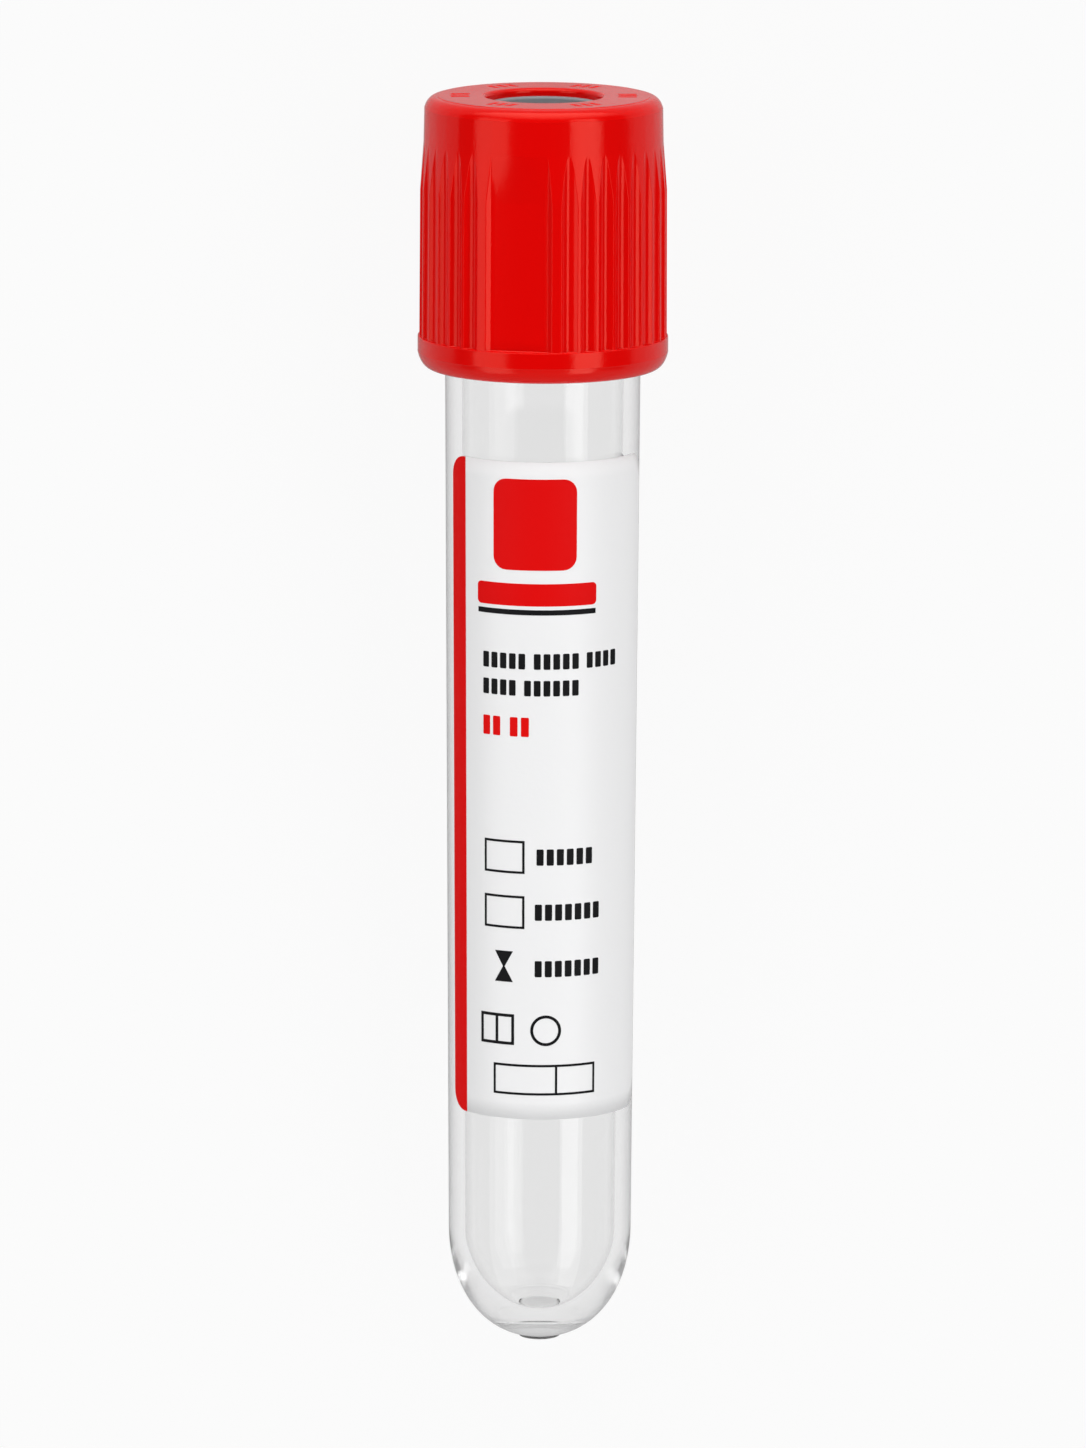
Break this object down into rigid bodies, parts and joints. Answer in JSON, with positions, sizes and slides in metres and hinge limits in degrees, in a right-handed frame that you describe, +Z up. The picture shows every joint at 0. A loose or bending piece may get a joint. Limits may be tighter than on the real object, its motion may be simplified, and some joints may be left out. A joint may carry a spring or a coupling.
{
  "type": "blood collection tube",
  "caption": "Clear round-bottom sample tube with a rubber stopper in a red ribbed cap and a white label with a red edge stripe, lying on its side.",
  "frame": {"origin": "on the ground under the middle of the tube's overall box, as the closed tube lies on the cap's flange and its round end", "axes": "+Y towards the cap along the ground, +Z up and out through the label's front, +X to the right of someone reading the label with the cap at the top. The tube's own axis rises 2.09 degrees towards the cap."},
  "size_m": [0.0166, 0.0848, 0.0169],
  "materials": {
    "clear_plastic": "clear moulded polyester, polished",
    "cap_plastic": "red moulded polyethylene, satin gloss",
    "stopper_rubber": "blue-grey butyl rubber, fine matt",
    "label_film": "white coated label stock with flat printed colour"
  },
  "bodies": {
    "tube": {"tube": "clear_plastic", "label": "label_film"},
    "stopper": {"stopper": "stopper_rubber"},
    "cap": {"cap": "cap_plastic"}
  },
  "joints": [
    {"name": "closure_pull", "type": "slide", "parent": "tube", "child": "stopper", "axis": [0, 0.9993, 0.0365], "range_m": [0, 0.025]},
    {"name": "cap_turn", "type": "hinge", "parent": "stopper", "child": "cap", "pos_m": [0, 0.0333, 0.00861], "axis": [0, 0.9993, 0.0365], "continuous": true}
  ]
}
